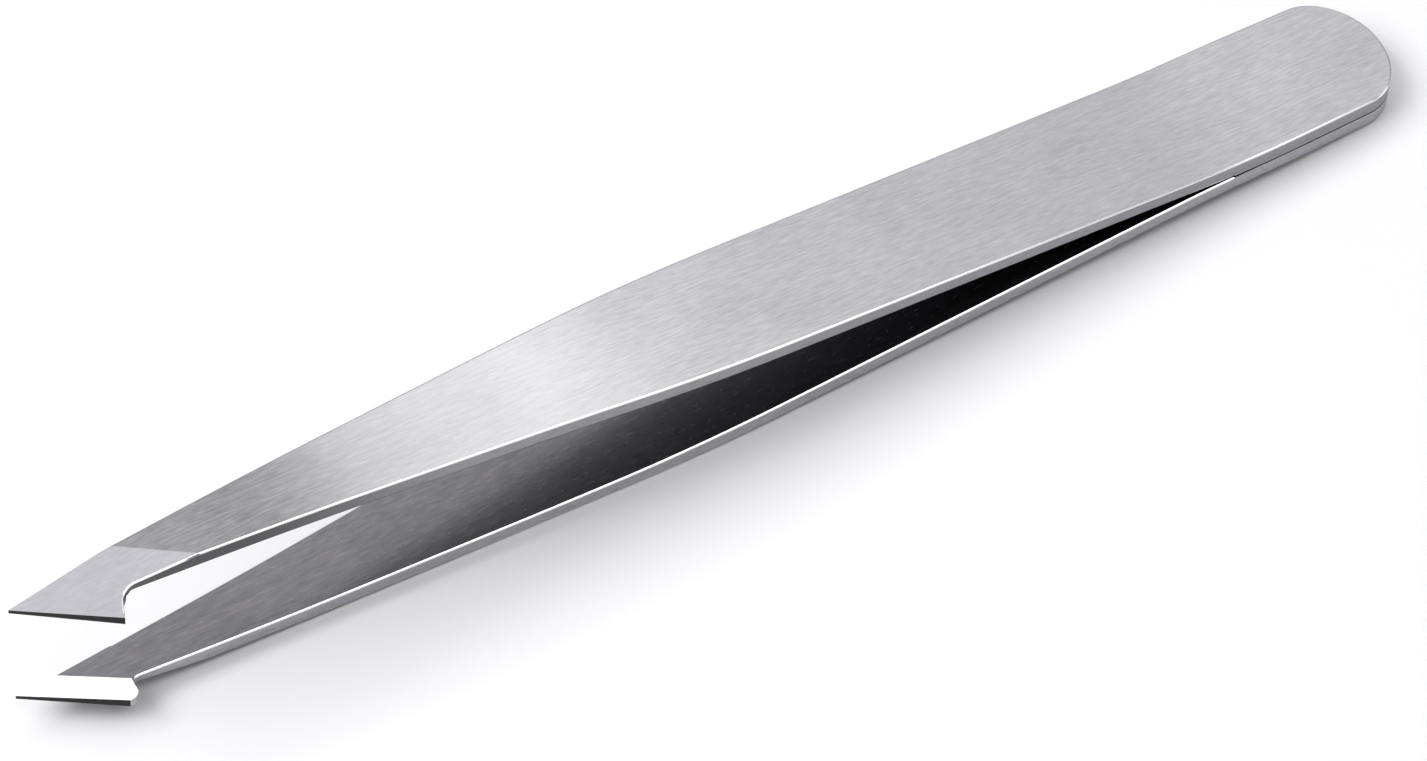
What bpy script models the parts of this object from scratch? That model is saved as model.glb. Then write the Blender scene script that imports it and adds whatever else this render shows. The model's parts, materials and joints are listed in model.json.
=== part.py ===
"""Slant-tip tweezers lying on the butt and the shoulder of the lower arm.

Each arm is one strip of spring steel. It is flat at the heel, where the two arms are spot-welded
together, spreads at a steady angle, bends back at the shoulder and ends in a slanted, hooked nose.
The strip flexes just ahead of the weld. There it is parted into a heel and a blade, so that the
blade can turn on a hinge.

The parts are modelled in the arm frame: X runs from the round butt to the far point of the slant
edge, Y across the strip and Z away from the mid-plane between the arms. An empty then lays the
pair down. Metres, +Z up.
"""

from math import atan2, cos, pi, radians, sin, tan

import bpy
import bmesh
from mathutils import Matrix, Vector

MM = 0.001

# Driving dimensions
LENGTH = 95.0 * MM  # butt to the far point of the slant edge
STRIP = 1.0 * MM  # thickness of each arm
SEAM = 0.1 * MM  # kept between the two heels where they are welded face to face
PART_GAP = 0.3 * MM  # kept between a heel and its blade
SPREAD = radians(4.0)  # each straight arm, from the mid-plane
CLOSING = radians(3.2)  # turn of each blade that brings the lands together
SLANT = radians(55.0)  # slant edge, from the cross direction

# Heel and flexure
HEEL_ROUND = 0.0375 * LENGTH  # how far the round butt reaches along the arm
HEEL_HALF_WIDTH = 4.5 * MM  # where the round butt meets the long edges
FLEX = 0.275 * LENGTH  # effective hinge of the bending strip

# Nose
HOOK_RADIUS = 1.15 * MM  # concave arc that leads the near edge out to the hooked corner
HOOK_TURN = radians(67.0)  # how far the arc turns outwards
HOOK_RISE = 0.9 * MM  # the straight side of the nose past the arc rises this far to the corner
CORNER_SIDE = 3.05 * MM  # distance of the hooked corner from the centre line
LAND_WIDTH = 1.5 * MM  # polished contact face behind the slant edge
LAND_STEP = 0.3 * MM  # length of the slope behind the land
LAND_CLEARANCE = 0.05 * MM  # left between the lands when the arms are closed
EDGE_THICKNESS = 0.28 * MM  # steel left at the far point of the slant edge
BEVEL_ANGLE = radians(11.3)  # outer facet ground down to the slant edge

# Spot welds
WELD_RADIUS = 1.4 * MM
WELD_HEIGHT = 0.8 * MM
WELD_CLEARANCE = 0.1 * MM
WELD_STATIONS = {"weld_nugget_rear": 0.048 * LENGTH, "weld_nugget_front": 0.09 * LENGTH}

# The arm's slope at stations along it. It changes evenly from each station to the next.
SIDE_SLOPES = (
    (0.0, 0.0),
    (0.115 * LENGTH, 0.0),
    (0.19 * LENGTH, tan(SPREAD)),
    (0.57 * LENGTH, tan(SPREAD)),
    (0.675 * LENGTH, tan(radians(2.3))),
    (0.775 * LENGTH, tan(radians(2.3))),
    (0.885 * LENGTH, tan(radians(0.3))),
    (1.02 * LENGTH, tan(radians(0.3))),
)

# The same for the half width: slightly wider past the butt, then a slow and a fast taper.
TAPER = -0.083
WIDTH_SLOPES = (
    (HEEL_ROUND, 0.02),
    (0.085 * LENGTH, 0.02),
    (0.125 * LENGTH, -0.0085),
    (0.485 * LENGTH, -0.0085),
    (0.61 * LENGTH, TAPER),
    (1.0 * LENGTH, TAPER),
)

STEPS_PER_BEND = 8
ROUND_SEGMENTS = 48
HOOK_SEGMENTS = 12
CUTTER_REACH = 8.0 * MM  # how far a cutter runs past what it cuts


def rise(slopes, x):
    """Rise at x of a line whose slope is given at stations."""
    total = 0.0
    for (x0, slope0), (x1, slope1) in zip(slopes, slopes[1:]):
        if x <= x0:
            break
        reach = min(x, x1) - x0
        slope = slope0 + (slope1 - slope0) * reach / (x1 - x0)
        total += (slope0 + slope) / 2 * reach
    return total


def stations(slopes, start, end):
    """Stations from start to end: the ends of straight stretches, and finer steps along bends."""
    inside = []
    for (x0, slope0), (x1, slope1) in zip(slopes, slopes[1:]):
        steps = STEPS_PER_BEND if slope0 != slope1 else 1
        inside += [x0 + (x1 - x0) * i / steps for i in range(steps + 1)]
    inside = sorted({round(x, 9) for x in inside if start < x < end})
    return [start] + inside + [end]


def inner_height(x):
    return SEAM / 2 + rise(SIDE_SLOPES, x)


def half_width(x):
    return HEEL_HALF_WIDTH + rise(WIDTH_SLOPES, x)


PIVOT = Vector((FLEX, 0.0, inner_height(FLEX) + STRIP / 2))  # joint axis of the upper blade
FAR_POINT = Vector((LENGTH, -half_width(LENGTH), 0.0))


def new_collection(name):
    collection = bpy.data.collections.new(name)
    bpy.context.scene.collection.children.link(collection)
    return collection


def prism(name, points, depth, placement, collection):
    """A flat outline extruded by depth, half to each side, and made a mesh."""
    curve = bpy.data.curves.new(name, "CURVE")
    curve.dimensions = "2D"
    curve.fill_mode = "BOTH"
    curve.extrude = depth / 2
    spline = curve.splines.new("POLY")
    spline.points.add(len(points) - 1)
    for point, (x, y) in zip(spline.points, points):
        point.co = (x, y, 0.0, 1.0)
    spline.use_cyclic_u = True
    outline = bpy.data.objects.new(name + "_outline", curve)
    bpy.context.scene.collection.objects.link(outline)
    depsgraph = bpy.context.evaluated_depsgraph_get()
    mesh = bpy.data.meshes.new_from_object(outline.evaluated_get(depsgraph))
    bpy.data.objects.remove(outline)
    bpy.data.curves.remove(curve)
    work = bmesh.new()
    work.from_mesh(mesh)
    bmesh.ops.remove_doubles(work, verts=work.verts, dist=0.00001 * MM)
    work.to_mesh(mesh)
    work.free()
    mesh.name = name
    mesh.transform(placement)
    solid = bpy.data.objects.new(name, mesh)
    collection.objects.link(solid)
    return solid


def cylinder(name, radius, height, centre, collection):
    mesh = bpy.data.meshes.new(name)
    work = bmesh.new()
    bmesh.ops.create_cone(
        work, cap_ends=True, segments=ROUND_SEGMENTS, radius1=radius, radius2=radius, depth=height
    )
    work.to_mesh(mesh)
    work.free()
    mesh.transform(Matrix.Translation(centre))
    solid = bpy.data.objects.new(name, mesh)
    collection.objects.link(solid)
    return solid


def as_cutter(solid):
    solid.hide_render = True
    solid.display_type = "WIRE"
    return solid


def combine(target, other, operation):
    modifier = target.modifiers.new(operation.lower() + "_" + other.name, "BOOLEAN")
    modifier.operation = operation
    modifier.solver = "EXACT"
    modifier.object = other


def move_origin(solid, point):
    """Put the object's origin at the point without moving its shape."""
    solid.data.transform(Matrix.Translation(-point))
    solid.location = point


def mirrored_copy(source, name, collection):
    """The finished shape of source on the other side of the mid-plane, with its origin mirrored too."""
    depsgraph = bpy.context.evaluated_depsgraph_get()
    mesh = bpy.data.meshes.new_from_object(source.evaluated_get(depsgraph))
    mesh.name = name
    mesh.transform(Matrix.Diagonal((1.0, 1.0, -1.0, 1.0)))
    mesh.flip_normals()
    copy = bpy.data.objects.new(name, mesh)
    copy.location = (source.location.x, source.location.y, -source.location.z)
    collection.objects.link(copy)
    return copy


def steel(name, colour, roughness):
    """Bare steel in one Principled material."""
    material = bpy.data.materials.new(name)
    material.use_nodes = True
    shader = material.node_tree.nodes["Principled BSDF"]
    shader.inputs["Base Color"].default_value = (*colour, 1.0)
    shader.inputs["Metallic"].default_value = 1.0
    shader.inputs["Roughness"].default_value = roughness
    return material


def side_profile(start, end):
    """Side view of the strip from start to end: the outer face, then the inner face back."""
    along = stations(SIDE_SLOPES, start, end)
    outer = [(x, inner_height(x) + STRIP) for x in along]
    inner = [(x, inner_height(x)) for x in reversed(along)]
    return outer + inner


def plan_outline():
    """Plan view of a whole arm, from the butt along the near edge to the nose and back."""
    butt = []
    for i in range(ROUND_SEGMENTS // 2 + 1):
        turn = pi * i / (ROUND_SEGMENTS // 2) - pi / 2
        butt.append((HEEL_ROUND * (1 - cos(turn)), half_width(HEEL_ROUND) * sin(turn)))
    taper_start = WIDTH_SLOPES[-2][0]
    near = [(x, half_width(x)) for x in stations(WIDTH_SLOPES, HEEL_ROUND, taper_start)[1:]]
    corner = (LENGTH - (CORNER_SIDE - FAR_POINT.y) * tan(SLANT), CORNER_SIDE)
    arc_end = (corner[0] - HOOK_RISE / tan(HOOK_TURN), corner[1] - HOOK_RISE)
    centre_x = arc_end[0] - HOOK_RADIUS * sin(HOOK_TURN)
    centre_y = arc_end[1] + HOOK_RADIUS * cos(HOOK_TURN)
    hook = []
    for i in range(HOOK_SEGMENTS + 1):
        turn = HOOK_TURN * i / HOOK_SEGMENTS
        hook.append((centre_x + HOOK_RADIUS * sin(turn), centre_y - HOOK_RADIUS * cos(turn)))
    along = stations(WIDTH_SLOPES, HEEL_ROUND, LENGTH)
    far = [(x, -half_width(x)) for x in reversed(along[1:])]
    return butt + near + hook + [corner] + far


def slant_section():
    """Placement of a section drawn across the slant edge.

    Its X runs from the slant edge towards the butt, its Y up, and it is extruded along the edge.
    """
    inward = Vector((-cos(SLANT), -sin(SLANT), 0.0))
    up = Vector((0.0, 0.0, 1.0))
    along = inward.cross(up)
    axes = Matrix((inward, up, along)).transposed().to_4x4()
    return Matrix.Translation(FAR_POINT) @ axes


def opened(angle):
    """Turn about the upper blade's joint axis that lifts the nose by the angle."""
    turn = Matrix.Rotation(-angle, 4, "Y")
    return Matrix.Translation(PIVOT) @ turn @ Matrix.Translation(-PIVOT)


def land_lip(cutters):
    """Lip that carries the land, drawn with the arms closed and then opened with the blade."""
    floor = LAND_CLEARANCE / 2
    top = floor + 0.65 * STRIP
    section = [
        (-LAND_WIDTH, floor),
        (LAND_WIDTH, floor),
        (LAND_WIDTH + LAND_STEP, top),
        (-LAND_WIDTH, top),
    ]
    placement = opened(CLOSING) @ slant_section()
    return as_cutter(prism("land_lip", section, 2 * CUTTER_REACH, placement, cutters))


def bevel_cutter(cutters):
    """Everything outside the ground facet, which rises evenly from the whole slant edge."""
    edge = LAND_CLEARANCE / 2 + EDGE_THICKNESS
    section = [
        (-CUTTER_REACH, edge - CUTTER_REACH * tan(BEVEL_ANGLE)),
        (CUTTER_REACH, edge + CUTTER_REACH * tan(BEVEL_ANGLE)),
        (CUTTER_REACH, CUTTER_REACH),
        (-CUTTER_REACH, CUTTER_REACH),
    ]
    lift = opened(CLOSING) @ FAR_POINT - FAR_POINT
    placement = Matrix.Translation(lift) @ slant_section()
    return as_cutter(prism("bevel_cutter", section, 3 * CUTTER_REACH, placement, cutters))


def arm_strip(name, start, end, collection):
    """Stretch of the bent strip, wider than the arm, before it is cut to the plan outline."""
    upright = Matrix.Rotation(pi / 2, 4, "X")
    return prism(name, side_profile(start, end), 2 * CUTTER_REACH, upright, collection)


def upper_blade(outline, parts, cutters):
    """Blade from the flexure to the slant edge, with its origin on the joint axis."""
    blade = arm_strip("upper_arm_blade", FLEX + PART_GAP / 2, 1.02 * LENGTH, parts)
    combine(blade, land_lip(cutters), "UNION")
    combine(blade, outline, "INTERSECT")
    combine(blade, bevel_cutter(cutters), "DIFFERENCE")
    move_origin(blade, PIVOT)
    return blade


def upper_heel(outline, parts, cutters):
    """Heel from the butt to the flexure, with a pocket for half of each weld nugget."""
    heel = arm_strip("upper_arm_heel", -STRIP, FLEX - PART_GAP / 2, parts)
    combine(heel, outline, "INTERSECT")
    pocket_height = WELD_HEIGHT + 2 * WELD_CLEARANCE
    for name, x in WELD_STATIONS.items():
        centre = Vector((x, 0.0, 0.0))
        pocket = cylinder(name + "_pocket", WELD_RADIUS + WELD_CLEARANCE, pocket_height, centre, cutters)
        combine(heel, as_cutter(pocket), "DIFFERENCE")
    return heel


def weld_nugget(name, x, parts):
    """Lens of fused steel between the heels, as a plain disc."""
    nugget = cylinder(name, WELD_RADIUS, WELD_HEIGHT, Vector((x, 0.0, 0.0)), parts)
    nugget.data.shade_smooth()
    nugget.data.set_sharp_from_angle(angle=radians(40))
    return nugget


def lying_tilt():
    """Tilt at which the lower arm touches a table with its butt and with its shoulder."""
    along = stations(SIDE_SLOPES, 0.0, LENGTH)[1:]
    return max(atan2(inner_height(x) - inner_height(0.0), x) for x in along)


def lay_down(solids):
    """Hang everything from an empty that tilts the pair as it lies and centres it on the origin."""
    stand = bpy.data.objects.new("lying_pose", None)
    bpy.context.scene.collection.objects.link(stand)
    stand.rotation_euler = (0.0, -lying_tilt(), 0.0)
    for solid in solids:
        solid.parent = stand
    bpy.context.view_layer.update()
    depsgraph = bpy.context.evaluated_depsgraph_get()
    corners = []
    for solid in solids:
        if not solid.hide_render:
            shape = solid.evaluated_get(depsgraph)
            corners += [shape.matrix_world @ vertex.co for vertex in shape.data.vertices]
    low = Vector([min(corner[axis] for corner in corners) for axis in range(3)])
    high = Vector([max(corner[axis] for corner in corners) for axis in range(3)])
    middle = (low + high) / 2
    stand.location = (-middle.x, -middle.y, -low.z)
    bpy.context.view_layer.update()


def build():
    for old in list(bpy.data.objects):
        bpy.data.objects.remove(old)
    parts = new_collection("slant_tweezers")
    cutters = new_collection("cutters")
    flat = Matrix.Identity(4)
    outline = as_cutter(prism("arm_outline", plan_outline(), 4 * CUTTER_REACH, flat, cutters))
    blade = upper_blade(outline, parts, cutters)
    heel = upper_heel(outline, parts, cutters)
    lower_blade = mirrored_copy(blade, "lower_arm_blade", parts)
    lower_heel = mirrored_copy(heel, "lower_arm_heel", parts)
    for solid in (blade, heel, lower_blade, lower_heel):
        solid.data.materials.append(steel(solid.name + "_steel", (0.60, 0.60, 0.62), 0.34))
    for name, x in WELD_STATIONS.items():
        nugget = weld_nugget(name, x, parts)
        nugget.data.materials.append(steel(name + "_steel", (0.42, 0.42, 0.43), 0.6))
    lay_down(list(parts.objects) + list(cutters.objects))


build()
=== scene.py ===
import json
from math import cos, pi, radians, sin, tan

import bpy
import bmesh
from mathutils import Matrix, Vector


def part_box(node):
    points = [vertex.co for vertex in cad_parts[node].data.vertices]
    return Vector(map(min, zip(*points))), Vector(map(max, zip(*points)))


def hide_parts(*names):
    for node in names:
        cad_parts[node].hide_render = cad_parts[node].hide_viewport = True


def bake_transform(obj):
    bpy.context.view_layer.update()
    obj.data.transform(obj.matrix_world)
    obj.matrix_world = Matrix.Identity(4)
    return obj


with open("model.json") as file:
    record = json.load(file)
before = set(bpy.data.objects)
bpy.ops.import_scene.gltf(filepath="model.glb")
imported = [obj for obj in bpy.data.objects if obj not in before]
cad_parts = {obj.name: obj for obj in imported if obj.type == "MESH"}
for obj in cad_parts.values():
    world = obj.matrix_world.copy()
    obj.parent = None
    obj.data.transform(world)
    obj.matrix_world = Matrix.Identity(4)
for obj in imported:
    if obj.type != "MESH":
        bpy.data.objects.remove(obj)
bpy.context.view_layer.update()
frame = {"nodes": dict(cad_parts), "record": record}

# ---- Upper arm ------------------------------------------------------------------------------
# One strip of stainless spring steel, blanked to its outline, bent over a die and then ground:
# brushed along its faces, with a facet and a slanted edge ground on the nose. The edges are
# tumbled to small bright chamfers, and the land that meets the other arm is polished.

MM = 0.001
LENGTH = 95.0 * MM  # butt to the far point of the slant edge
STRIP = 1.0 * MM
SEAM = 0.1 * MM  # between the heels, where the arms are pressed together
SPREAD = radians(4.0)  # straight stretch, from the mid-plane between the arms
CLOSING = radians(3.2)  # turn that brings the lands together
SLANT = radians(55.0)  # slant edge, from the cross direction
FLEX = 0.275 * LENGTH  # station of the hinge axis

HEEL_ROUND = 0.0375 * LENGTH
HEEL_HALF_WIDTH = 4.5 * MM
HOOK_RADIUS = 1.15 * MM
HOOK_TURN = radians(67.0)
HOOK_RISE = 0.9 * MM  # the near edge past the arc rises this far to the corner
LIP = 0.6 * MM  # the blank runs on beyond the corner by this before the slant is ground
CORNER_SIDE = 3.05 * MM
LAND_WIDTH = 1.5 * MM
LAND_SLOPE = (0.3 * MM, 0.65 * MM)  # run and rise of the step behind the land
LAND_CLEARANCE = 0.05 * MM  # between the lands with both arms closed
EDGE_THICKNESS = 0.28 * MM  # left at the slant edge by the facet
FACET_ANGLE = radians(11.3)
CHAMFER = 0.10 * MM
FACET_CHAMFER = 0.09 * MM
FACET_CHAMFER_END = 3 * FACET_CHAMFER  # it stops this far from the slant edge
CHAMFER_SEGMENTS = 2
SEAM_END = 14.0 * MM  # the inner edges are chamfered from here to the hook

# The arm's slope, and then the slope of its half width, at stations along it. Each changes
# evenly from one station to the next.
NOSE_START = 0.885 * LENGTH  # from here to the tip the faces are flat
BLANK_END = 1.02 * LENGTH
EASED, NOSE_SPREAD = radians(2.3), radians(0.3)
SIDE_SLOPES = (
    (0.0, 0.0),
    (0.115 * LENGTH, 0.0),
    (0.19 * LENGTH, tan(SPREAD)),
    (0.57 * LENGTH, tan(SPREAD)),
    (0.675 * LENGTH, tan(EASED)),
    (0.775 * LENGTH, tan(EASED)),
    (NOSE_START, tan(NOSE_SPREAD)),
    (BLANK_END, tan(NOSE_SPREAD)),
)
TAPER_START = 0.61 * LENGTH
HEEL_FLARE, GRIP_TAPER, NOSE_TAPER = 0.02, -0.0085, -0.083
WIDTH_SLOPES = (
    (HEEL_ROUND, HEEL_FLARE),
    (0.085 * LENGTH, HEEL_FLARE),
    (0.125 * LENGTH, GRIP_TAPER),
    (0.485 * LENGTH, GRIP_TAPER),
    (TAPER_START, NOSE_TAPER),
    (BLANK_END, NOSE_TAPER),
)


def rise(slopes, x):
    """Rise at x of a line whose slope is given at stations."""
    total = 0.0
    for (x0, slope0), (x1, slope1) in zip(slopes, slopes[1:]):
        if x <= x0:
            break
        reach = min(x, x1) - x0
        slope = slope0 + (slope1 - slope0) * reach / (x1 - x0)
        total += (slope0 + slope) / 2 * reach
    return total


def inner_height(x):
    return SEAM / 2 + rise(SIDE_SLOPES, x)


def half_width(x):
    return HEEL_HALF_WIDTH + rise(WIDTH_SLOPES, x)


# The hook on the near edge, found from the corner at the near end of the slant edge.
far_point = Vector((LENGTH, -half_width(LENGTH), 0.0))
corner_x = LENGTH - (CORNER_SIDE - far_point.y) * tan(SLANT)
hook_start = corner_x - HOOK_RISE / tan(HOOK_TURN) - HOOK_RADIUS * sin(HOOK_TURN)
hook_low = CORNER_SIDE - HOOK_RISE - HOOK_RADIUS * (1 - cos(HOOK_TURN))
pivot = Vector((FLEX, 0.0, inner_height(FLEX) + STRIP / 2))
inward = Vector((-cos(SLANT), -sin(SLANT), 0.0))  # from the slant edge towards the butt
UP = Vector((0.0, 0.0, 1.0))


def near_side(x):
    """Near edge of the blank: straight to the hook, then an arc and a straight flank."""
    if x <= TAPER_START:
        return half_width(x)
    if x <= hook_start:
        start = half_width(TAPER_START)
        return start + (hook_low - start) * (x - TAPER_START) / (hook_start - TAPER_START)
    reach = min(x - hook_start, HOOK_RADIUS * sin(HOOK_TURN))
    arc = HOOK_RADIUS - (HOOK_RADIUS**2 - reach**2) ** 0.5
    flank = (x - hook_start - reach) * tan(HOOK_TURN)
    return min(hook_low + arc + flank, CORNER_SIDE + LIP)


def pick(piece, kind, wanted):
    """In edit mode, select those vertices, edges or faces of the piece that are wanted."""
    bpy.ops.mesh.select_mode(type=kind)
    bpy.ops.mesh.select_all(action="DESELECT")
    mesh = bmesh.from_edit_mesh(piece.data)
    mesh.normal_update()
    for item in {"VERT": mesh.verts, "EDGE": mesh.edges, "FACE": mesh.faces}[kind]:
        item.select = wanted(item)
    mesh.select_flush_mode()
    bmesh.update_edit_mesh(piece.data)


def middle(item):
    """Middle of an edge or a face."""
    return sum((vert.co for vert in item.verts), Vector()) / len(item.verts)


CUT_THRESHOLD = 0.00001 * MM


def cut(point, normal, fill=True, clear=True):
    """Cut all that is selected by a plane, and clear and close what lies ahead of it."""
    bpy.ops.mesh.bisect(
        plane_co=point, plane_no=normal, use_fill=fill, clear_outer=clear, threshold=CUT_THRESHOLD
    )


STATION_STEP = 1.0 * MM
HOOK_SEGMENTS = 14


def along_strip():
    """Stations of the blank, from the round butt to past the nose, close together at the hook."""
    bends = [x for x, slope in SIDE_SLOPES[1:-1]] + [TAPER_START]
    stops = sorted(bends + [hook_start])
    stations, here = [], HEEL_ROUND
    for stop in stops:
        count = max(1, round((stop - here) / STATION_STEP))
        stations += [here + (stop - here) * i / count for i in range(1, count + 1)]
        here = stop
    turns = [HOOK_TURN * i / HOOK_SEGMENTS for i in range(1, HOOK_SEGMENTS + 1)]
    stations += [hook_start + HOOK_RADIUS * sin(turn) for turn in turns]
    flank, end = stations[-1], corner_x + LIP / tan(HOOK_TURN)
    stations += [flank + (end - flank) * i / HOOK_SEGMENTS for i in range(1, HOOK_SEGMENTS + 1)]
    return stations + [BLANK_END]


FINISH_SLOTS = range(6)
OUTER, INNER, SIDE, POLISHED, FACET, END = FINISH_SLOTS
BUTT_VERTICES = 128
NEARLY_SAME = 0.0001 * MM
facet_normal = (UP * cos(FACET_ANGLE) - inward * sin(FACET_ANGLE)).normalized()
crest = far_point + inward * LAND_WIDTH + UP * (LAND_CLEARANCE / 2)
UNDER = 0.8 * MM  # all of the nose's inner face is lower than this with the arms closed

# How far two unit normals agree, as their dot product.
ROUGHLY, CLOSELY, ALMOST, EXACTLY = 0.9, 0.99, 0.999, 0.9999


def faces_up(face):
    """An outer or inner face of the strip, and not a side wall."""
    return abs(face.normal.z) > ROUGHLY


def on_facet(face):
    return face.normal.dot(facet_normal) > EXACTLY


def on_end(face):
    return face.normal.dot(-inward) > EXACTLY


def depth(point):
    """Distance of a point from the slant edge, towards the butt."""
    return (point - far_point).dot(inward)


def under_nose(face):
    return middle(face).z < UNDER and middle(face).x > NOSE_START


def turn_about_pivot(piece, angle):
    """Turn the piece on the hinge axis. A positive angle opens the arm."""
    bpy.ops.object.mode_set(mode="OBJECT")
    turn = Matrix.Rotation(-angle, 4, "Y")
    piece.data.transform(Matrix.Translation(pivot) @ turn @ Matrix.Translation(-pivot))
    bpy.ops.object.mode_set(mode="EDIT")


def finish_faces(piece, finish, wanted):
    """Give the wanted faces a finish."""
    pick(piece, "FACE", wanted)
    piece.active_material_index = finish
    bpy.ops.object.material_slot_assign()


TUMBLED_END = hook_start + HOOK_RADIUS / 3


def tumbled(edge):
    """An edge of the outline that gets a chamfer: all of the outer face's, part of the inner's."""
    place = middle(edge)
    outer = place.z - inner_height(place.x) > STRIP / 2
    return outer or SEAM_END < place.x < TUMBLED_END


def ground_arm(name, near_edge):
    """An arm before it is laid down: the blank, its thickness, chamfers, land, slant and facet."""
    # Half a disc at the butt, drawn out station by station as a bent sheet.
    bpy.ops.object.select_all(action="DESELECT")
    bpy.ops.mesh.primitive_circle_add(
        vertices=BUTT_VERTICES, radius=HEEL_HALF_WIDTH, fill_type="NGON", enter_editmode=True
    )
    arm = bpy.context.object
    arm.name = name
    for slot in FINISH_SLOTS:
        arm.data.materials.append(None)
    bpy.ops.mesh.select_all(action="SELECT")
    bpy.ops.transform.resize(value=(HEEL_ROUND / HEEL_HALF_WIDTH, 1, 1), center_override=(0, 0, 0))
    bpy.ops.transform.translate(value=(HEEL_ROUND, 0, SEAM / 2))
    cut((HEEL_ROUND, 0, 0), (1, 0, 0), fill=False)
    pick(arm, "EDGE", lambda edge: all(
        abs(vert.co.x - HEEL_ROUND) < NEARLY_SAME for vert in edge.verts
    ))
    here, near, far = HEEL_ROUND, HEEL_HALF_WIDTH, HEEL_HALF_WIDTH
    for x in along_strip():
        next_near, next_far = near_edge(x), half_width(x)
        shift = ((next_near - next_far) - (near - far)) / 2
        step = (x - here, shift, inner_height(x) - inner_height(here))
        bpy.ops.mesh.extrude_region_move(TRANSFORM_OT_translate={"value": step})
        bpy.ops.transform.resize(
            value=(1, (next_near + next_far) / (near + far), 1),
            center_override=(x, (next_near - next_far) / 2, 0),
        )
        here, near, far = x, next_near, next_far

    # The flat nose is made one face, and the sheet gets its thickness.
    pick(arm, "FACE", lambda face: middle(face).x > NOSE_START)
    bpy.ops.mesh.dissolve_faces()
    bpy.ops.mesh.select_all(action="SELECT")
    bpy.ops.mesh.extrude_region_move(TRANSFORM_OT_translate={"value": (0, 0, STRIP)})
    bpy.ops.mesh.select_all(action="SELECT")
    bpy.ops.mesh.normals_make_consistent(inside=False)

    # Tumbled edges: small round chamfers along the outline, on both faces.
    finish_faces(arm, SIDE, lambda face: not faces_up(face))
    pick(arm, "EDGE", lambda edge: len(edge.link_faces) == 2
         and faces_up(edge.link_faces[0]) != faces_up(edge.link_faces[1]) and tumbled(edge))
    bpy.ops.mesh.bevel(
        offset=CHAMFER, segments=CHAMFER_SEGMENTS, affect="EDGES", clamp_overlap=False,
        material=POLISHED,
    )

    # Land: ground with the arms closed, so that the two lands meet flat.
    turn_about_pivot(arm, -CLOSING)
    run, height = LAND_SLOPE
    pick(arm, "FACE", under_nose)
    cut(crest, inward * height - UP * run, fill=False, clear=False)
    pick(arm, "FACE", under_nose)
    cut(crest, inward, fill=False, clear=False)
    pick(arm, "VERT", lambda vert: vert.co.z < UNDER
         and depth(vert.co) < LAND_WIDTH + 10 * NEARLY_SAME)
    bpy.ops.transform.resize(value=(1, 1, 0), center_override=(0, 0, LAND_CLEARANCE / 2))
    finish_faces(arm, POLISHED, lambda face: under_nose(face) and depth(middle(face)) < LAND_WIDTH
                 and abs(face.normal.z) > CLOSELY)
    turn_about_pivot(arm, CLOSING)

    # Slant edge, and the facet ground level with it.
    bpy.ops.mesh.select_all(action="SELECT")
    cut(far_point, -inward)
    opened = Matrix.Rotation(-CLOSING, 4, "Y") @ (far_point - pivot) + pivot
    edge_line = opened + UP * (LAND_CLEARANCE / 2 + EDGE_THICKNESS)
    bpy.ops.mesh.select_all(action="SELECT")
    cut(edge_line, facet_normal)

    # The facet's near side gets a chamfer, which stops short of the corner.
    pick(arm, "EDGE", lambda edge: sum(on_facet(face) for face in edge.link_faces) == 1
         and sum(faces_up(face) for face in edge.link_faces) == 1
         and middle(edge).y > 0 and depth(middle(edge)) > FACET_CHAMFER_END)
    bpy.ops.mesh.bevel(
        offset=FACET_CHAMFER, segments=CHAMFER_SEGMENTS, affect="EDGES", clamp_overlap=False,
        material=POLISHED,
    )

    # The other finishes are told apart by where a face looks.
    finish_faces(arm, FACET, on_facet)
    finish_faces(arm, END, on_end)
    finish_faces(arm, OUTER, lambda face: face.normal.z > CLOSELY
                 and face.normal.dot(facet_normal) < ALMOST)
    finish_faces(arm, INNER, lambda face: face.normal.z < -CLOSELY
                 and face.material_index != POLISHED)
    bpy.ops.object.mode_set(mode="OBJECT")
    return arm


# The arm's own axes, laid down where the record has its hinges.
hinges = {joint["name"]: Vector(joint["pos_m"]) for joint in frame["record"]["behaviour"]["joints"]}
upper_hinge, lower_hinge = hinges["upper_arm_flex"], hinges["lower_arm_flex"]
away = (upper_hinge - lower_hinge).normalized()
ahead = Vector((0.0, 1.0, 0.0)).cross(away)
turn = Matrix((ahead, Vector((0.0, 1.0, 0.0)), away)).transposed().to_4x4()
lying = Matrix.Translation((upper_hinge + lower_hinge) / 2 - ahead * FLEX) @ turn


WELD_CLEARANCE = 0.1 * MM
POCKET_VERTICES = 48


def drill_pockets(piece):
    """Shallow pockets in the inner face, where the welds have fused both arms."""
    for nugget in ("weld_nugget_rear", "weld_nugget_front"):
        low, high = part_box(nugget)
        centre = lying.inverted() @ ((low + high) / 2)
        radius = (high.y - low.y) / 2 + WELD_CLEARANCE
        half_height = (high.z - low.z) / 2 + WELD_CLEARANCE
        bpy.ops.object.select_all(action="DESELECT")
        bpy.ops.mesh.primitive_cylinder_add(
            vertices=POCKET_VERTICES, radius=radius, depth=2 * half_height,
            location=(centre.x, 0, 0),
        )
        drill = bpy.context.object
        bpy.context.view_layer.objects.active = piece
        pocket = piece.modifiers.new("pocket", "BOOLEAN")
        pocket.object = drill
        pocket.operation = "DIFFERENCE"
        pocket.solver = "EXACT"
        bpy.ops.object.modifier_apply(modifier="pocket")
        bpy.data.objects.remove(drill)


def keep_strip_place(piece):
    """Give each vertex its place on the strip before bending, for patterns along the strip."""
    place = piece.data.attributes.new("strip_place", "FLOAT_VECTOR", "POINT")
    for vert, item in zip(piece.data.vertices, place.data):
        item.vector = (vert.co.x, vert.co.y, vert.co.z - inner_height(vert.co.x))


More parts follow.
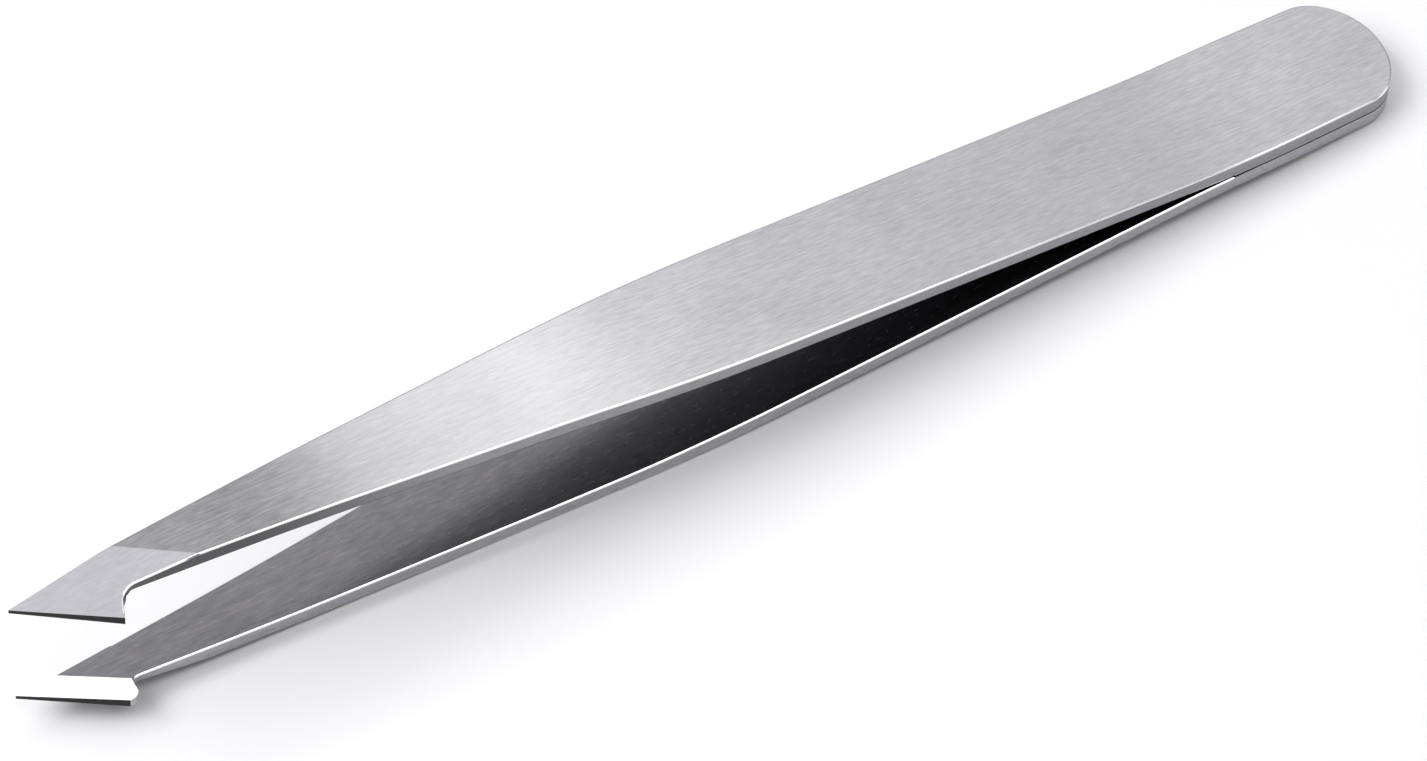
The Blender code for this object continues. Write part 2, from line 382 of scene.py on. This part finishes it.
def edit_alone(piece):
    """Edit mode, with only this piece selected."""
    bpy.ops.object.select_all(action="DESELECT")
    piece.select_set(True)
    bpy.context.view_layer.objects.active = piece
    bpy.ops.object.mode_set(mode="EDIT")


CORNER_ANGLE = radians(35.0)


def shade(piece):
    """Smooth shading that breaks at corners and where one finish meets another."""
    edit_alone(piece)
    pick(piece, "EDGE", lambda edge: len({face.material_index for face in edge.link_faces}) > 1)
    bpy.ops.mesh.mark_sharp()
    bpy.ops.object.mode_set(mode="OBJECT")
    bpy.ops.object.shade_smooth_by_angle(angle=CORNER_ANGLE, keep_sharp_edges=True)


arm = ground_arm("upper_arm", near_side)
drill_pockets(arm)
keep_strip_place(arm)
shade(arm)


class Value:
    """A shader socket. Arithmetic on it adds Math nodes."""

    def __init__(self, finish, socket):
        self.finish = finish
        self.socket = socket

    def math(self, operation, first, second):
        return self.finish.node("ShaderNodeMath", {"operation": operation}, {0: first, 1: second})

    def __add__(self, other):
        return self.math("ADD", self, other)

    def __radd__(self, other):
        return self.math("ADD", other, self)

    def __sub__(self, other):
        return self.math("SUBTRACT", self, other)

    def __rsub__(self, other):
        return self.math("SUBTRACT", other, self)

    def __mul__(self, other):
        return self.math("MULTIPLY", self, other)

    def __rmul__(self, other):
        return self.math("MULTIPLY", other, self)


COLOUR_A, COLOUR_B, COLOUR_RESULT = 6, 7, 2  # a Mix node's colour sockets share their names


class Finish:
    """A material with one method that adds any node to it."""

    def __init__(self, name, **constants):
        self.material = bpy.data.materials.new(name)
        self.material.use_nodes = True
        self.tree = self.material.node_tree
        self.shader = self.tree.nodes["Principled BSDF"]
        for socket, value in constants.items():
            self.feed(socket.replace("_", " "), value)

    def feed(self, socket, value):
        """Set a socket of the shader, or link a value to it."""
        if isinstance(value, Value):
            self.tree.links.new(value.socket, self.shader.inputs[socket])
        else:
            self.shader.inputs[socket].default_value = value

    def node(self, kind, settings=None, inputs=None, output=0):
        node = self.tree.nodes.new(kind)
        for name, value in (settings or {}).items():
            setattr(node, name, value)
        for name, value in (inputs or {}).items():
            if isinstance(value, Value):
                self.tree.links.new(value.socket, node.inputs[name])
            else:
                node.inputs[name].default_value = value
        return Value(self, node.outputs[output])

    def mix(self, factor, first, second):
        """The first colour where the factor is 0, the second where it is 1."""
        colours = [c if isinstance(c, Value) else (*c, 1.0) for c in (first, second)]
        inputs = {"Factor": factor, COLOUR_A: colours[0], COLOUR_B: colours[1]}
        return self.node("ShaderNodeMix", {"data_type": "RGBA"}, inputs, output=COLOUR_RESULT)


def streaks(finish, place, along, across, detail, turn=0.0):
    """Fine grooves along the strip: noise drawn out by its different scales."""
    grid = finish.node(
        "ShaderNodeMapping", {},
        {"Vector": place, "Rotation": (0.0, 0.0, radians(turn)), "Scale": (along, across, across)},
    )
    return finish.node(
        "ShaderNodeTexNoise", {}, {"Vector": grid, "Scale": 1.0, "Detail": detail, "Roughness": 0.6}
    )


GRAIN, LONG_GRAIN, CLOUDS = 800.0, 60.0, 220.0  # how closely each pattern repeats, per metre
LONG_GRAIN_TURN = 1.5  # degrees off the strip's own direction
CONTRAST = 2.8
GROOVE = 0.004 * MM
# Stretch of the strip over which the side wall's painted shade deepens towards the nose.
NOSE_SHADE_RANGE = (66.0 * MM, 82.0 * MM)


def brushed_steel(name, dark, light, roughness, across, nose_shade_factor=1.0, groove=GROOVE):
    """Belt-ground stainless steel. Its grooves run along the strip and repeat closely across it."""
    finish = Finish(name, Metallic=1.0)
    place = finish.node("ShaderNodeAttribute", {"attribute_name": "strip_place"}, output="Vector")
    fine = streaks(finish, place, GRAIN, across, detail=4.0)
    long = streaks(finish, place, LONG_GRAIN, across * 0.3, detail=3.0, turn=LONG_GRAIN_TURN)
    cloud = finish.node("ShaderNodeTexNoise", {}, {"Vector": place, "Scale": CLOUDS, "Detail": 2.0})
    tone = fine * 0.6 + long * 0.18 + cloud * 0.22
    colour = finish.mix((tone - 0.5) * CONTRAST + 0.5, dark, light)
    if nose_shade_factor != 1.0:
        # Painted shade: the colour darkens towards the nose, painting in the dark reflection the
        # wall shows there.
        x = finish.node("ShaderNodeSeparateXYZ", {}, {0: place})
        start, end = NOSE_SHADE_RANGE
        nose_shade_mask = finish.node(
            "ShaderNodeMapRange", {"interpolation_type": "SMOOTHSTEP"},
            {"Value": x, "From Min": start, "From Max": end},
        )
        colour = finish.mix(nose_shade_mask, colour, tuple(nose_shade_factor * channel for channel in dark))
    finish.feed("Base Color", colour)
    finish.feed("Roughness", roughness + (fine - 0.5) * 0.09)
    finish.feed("Normal", finish.node(
        "ShaderNodeBump", {}, {"Strength": 0.04, "Distance": groove, "Height": fine}
    ))
    return finish.material


HAZE = (150.0, 2500.0)  # how closely the streaks repeat along and across the strip


def polished_steel(name, colour, roughness):
    """Tumbled or lapped steel, with only faint streaks left."""
    finish = Finish(name, Metallic=1.0)
    place = finish.node("ShaderNodeAttribute", {"attribute_name": "strip_place"}, output="Vector")
    haze = streaks(finish, place, *HAZE, detail=3.0)
    finish.feed("Base Color", finish.mix(haze, tuple(0.9 * channel for channel in colour), colour))
    finish.feed("Roughness", roughness + (haze - 0.5) * 0.08)
    return finish.material


ARM_FINISHES = {
    OUTER: brushed_steel("outer_face", (0.35, 0.345, 0.36), (0.49, 0.485, 0.50), 0.20, 7000.0),
    INNER: brushed_steel(
        "inner_face", (0.158, 0.154, 0.166), (0.25, 0.244, 0.26), 0.26, 5000.0, groove=GROOVE / 8
    ),
    # The side wall's colour is painted darker towards the nose: painted shade, not a different
    # grind.
    SIDE: brushed_steel("ground_edge", (0.26, 0.26, 0.28), (0.34, 0.34, 0.36), 0.28, 7000.0, 0.38),
    POLISHED: polished_steel("polished_edge", (0.88, 0.88, 0.90), 0.14),
    FACET: brushed_steel("ground_facet", (0.335, 0.33, 0.35), (0.405, 0.40, 0.42), 0.26, 7000.0),
    END: brushed_steel("slant_end", (0.02, 0.02, 0.022), (0.04, 0.04, 0.042), 0.42, 7000.0),
}
for slot, material in ARM_FINISHES.items():
    arm.data.materials[slot] = material

# ---- Lower arm ------------------------------------------------------------------------------
# The same strip turned over: it is blanked and ground as the upper arm's mirror image, but the
# near end of its land is ground round, and it lies on the table with its outer face down.

ROUNDED_END = 0.62 * MM  # radius of the near end of its land
PAST_HOOK = 1.27 * MM  # from where the hook starts to the middle of the round end
end_centre = Vector((hook_start + PAST_HOOK, CORNER_SIDE - ROUNDED_END, 0.0))


def rounded_near_side(x):
    """Near edge as on the upper arm, but with the hook ground to a round end."""
    if x <= end_centre.x - ROUNDED_END:
        return near_side(x)
    reach = max(end_centre.x - x, 0.0)
    return end_centre.y + (ROUNDED_END**2 - reach**2) ** 0.5


lower_arm = ground_arm("lower_arm", rounded_near_side)
drill_pockets(lower_arm)
edit_alone(lower_arm)
bpy.ops.mesh.select_all(action="SELECT")
bpy.ops.transform.resize(value=(1, 1, -1), center_override=(0, 0, 0))
bpy.ops.mesh.normals_make_consistent(inside=False)
bpy.ops.object.mode_set(mode="OBJECT")
keep_strip_place(lower_arm)
shade(lower_arm)
for slot, material in ARM_FINISHES.items():
    lower_arm.data.materials[slot] = material
# The lower arm's side walls get a lighter copy of the same edge steel: painted light, for the lit
# white table they reflect.
lower_arm.data.materials[SIDE] = brushed_steel(
    "lower_edge_painted_light", (0.38, 0.38, 0.41), (0.50, 0.50, 0.53), 0.28, 7000.0
)

for piece, side in ((arm, "upper"), (lower_arm, "lower")):
    piece.data.transform(lying)
    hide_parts(side + "_arm_heel", side + "_arm_blade")
    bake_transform(piece)

# ---- Spot welds -----------------------------------------------------------------------------
# Two lenses of fused steel between the heels, dull and slightly scaled from the heat.

weld = Finish("weld_steel", Metallic=1.0)
place = weld.node("ShaderNodeTexCoord", output="Object")
scale = weld.node("ShaderNodeTexNoise", {}, {"Vector": place, "Scale": 2500.0, "Detail": 4.0})
weld.feed("Base Color", weld.mix(scale, (0.30, 0.29, 0.28), (0.50, 0.50, 0.51)))
weld.feed("Roughness", 0.45 + scale * 0.3)
for nugget in ("weld_nugget_rear", "weld_nugget_front"):
    frame["nodes"][nugget].data.materials.clear()
    frame["nodes"][nugget].data.materials.append(weld.material)

# ---- Studio ---------------------------------------------------------------------------------
# A plain white table in a dim room. Five soft boxes hang level under the ceiling, and the gaps
# between them show dark in the steel.

TABLE_SIZE = 4.0
bpy.ops.object.select_all(action="DESELECT")
bpy.ops.mesh.primitive_plane_add(size=TABLE_SIZE)
table = bpy.context.object
table.name = "table"
paper = Finish("white_table", Base_Color=(0.72, 0.72, 0.72, 1.0), Roughness=0.5)
table.data.materials.append(paper.material)

room = bpy.data.worlds.new("room")
room.use_nodes = True
walls = room.node_tree.nodes["Background"]
walls.inputs["Color"].default_value = (0.93, 0.93, 1.0, 1.0)
walls.inputs["Strength"].default_value = 0.33
bpy.context.scene.world = room


CEILING = 0.6


def ceiling_panel(name, x_range, y_range, radiance):
    """A soft box over a range in x and y. Its power follows from how bright it looks."""
    lamp = bpy.data.lights.new(name, "AREA")
    lamp.shape = "RECTANGLE"
    lamp.size, lamp.size_y = x_range[1] - x_range[0], y_range[1] - y_range[0]
    lamp.energy = pi * radiance * lamp.size * lamp.size_y
    panel = bpy.data.objects.new(name, lamp)
    panel.location = (sum(x_range) / 2, sum(y_range) / 2, CEILING)
    bpy.context.scene.collection.objects.link(panel)


ceiling_panel("panel_edges", (-0.42, 0.12), (0.10, 0.45), 2.0)
ceiling_panel("panel_left", (-0.90, -0.40), (-0.80, 0.10), 0.83)
ceiling_panel("panel_strip", (-0.40, -0.302), (-0.80, 0.10), 2.4)
ceiling_panel("panel_above", (-0.188, 0.25), (-0.65, 0.05), 1.25)
ceiling_panel("panel_right", (0.25, 1.00), (-0.63, 0.12), 5.6)

# A long lens, looking down on the tweezers from the nose's near side.
CAMERA_PLACE = Vector((111.45, 174.89, 264.61)) * MM
AZIMUTH, ELEVATION = radians(147.758), radians(51.962)  # of the camera, seen from the tweezers
lens = bpy.data.cameras.new("camera")
lens.lens = 141.8
lens.sensor_width = 36.0
lens.clip_start = 0.01
camera = bpy.data.objects.new("camera", lens)
back = Vector((sin(AZIMUTH) * cos(ELEVATION), -cos(AZIMUTH) * cos(ELEVATION), sin(ELEVATION)))
camera.location = CAMERA_PLACE
camera.rotation_euler = back.to_track_quat("Z", "Y").to_euler()
bpy.context.scene.collection.objects.link(camera)
bpy.context.scene.camera = camera
bpy.context.scene.view_settings.view_transform = "Standard"
